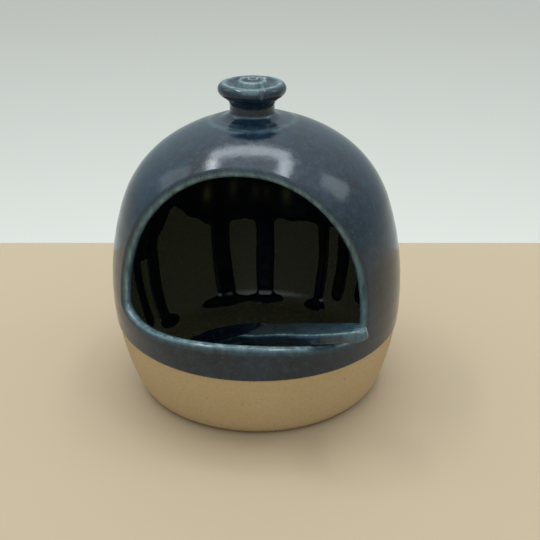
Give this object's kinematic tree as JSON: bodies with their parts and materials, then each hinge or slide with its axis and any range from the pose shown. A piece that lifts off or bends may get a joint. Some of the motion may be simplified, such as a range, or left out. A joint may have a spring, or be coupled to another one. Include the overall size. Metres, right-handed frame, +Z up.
{
  "type": "salt pig",
  "caption": "Round stoneware salt pig with a wide arched mouth, dark glaze outside, a turned knob on the crown and a loose ceramic spoon resting on the lip.",
  "frame": {"origin": "middle of the whole object's box in plan, on the plane that the base stands on", "axes": "+Z up along the jar's axis, -Y out of the mouth, +X to the right of someone who looks into the mouth"},
  "size_m": [0.13, 0.13, 0.138],
  "materials": {
    "buff_stoneware": "unglazed, speckled, matt",
    "dark_blue_glaze": "gloss, breaks pale blue-green on edges",
    "olive_liner": "gloss",
    "run_glaze": "gloss"
  },
  "bodies": {
    "jar": {"clay_jar": "buff_stoneware", "knob": "dark_blue_glaze", "outer_glaze": "dark_blue_glaze", "liner_glaze": "olive_liner", "glaze_runs": "run_glaze"},
    "spoon": {"spoon": "dark_blue_glaze"}
  },
  "joints": [
    {"name": "spoon_lift", "type": "slide", "parent": "jar", "child": "spoon", "axis": [0, -0.6428, 0.766], "range_m": [0, 0.14]}
  ]
}
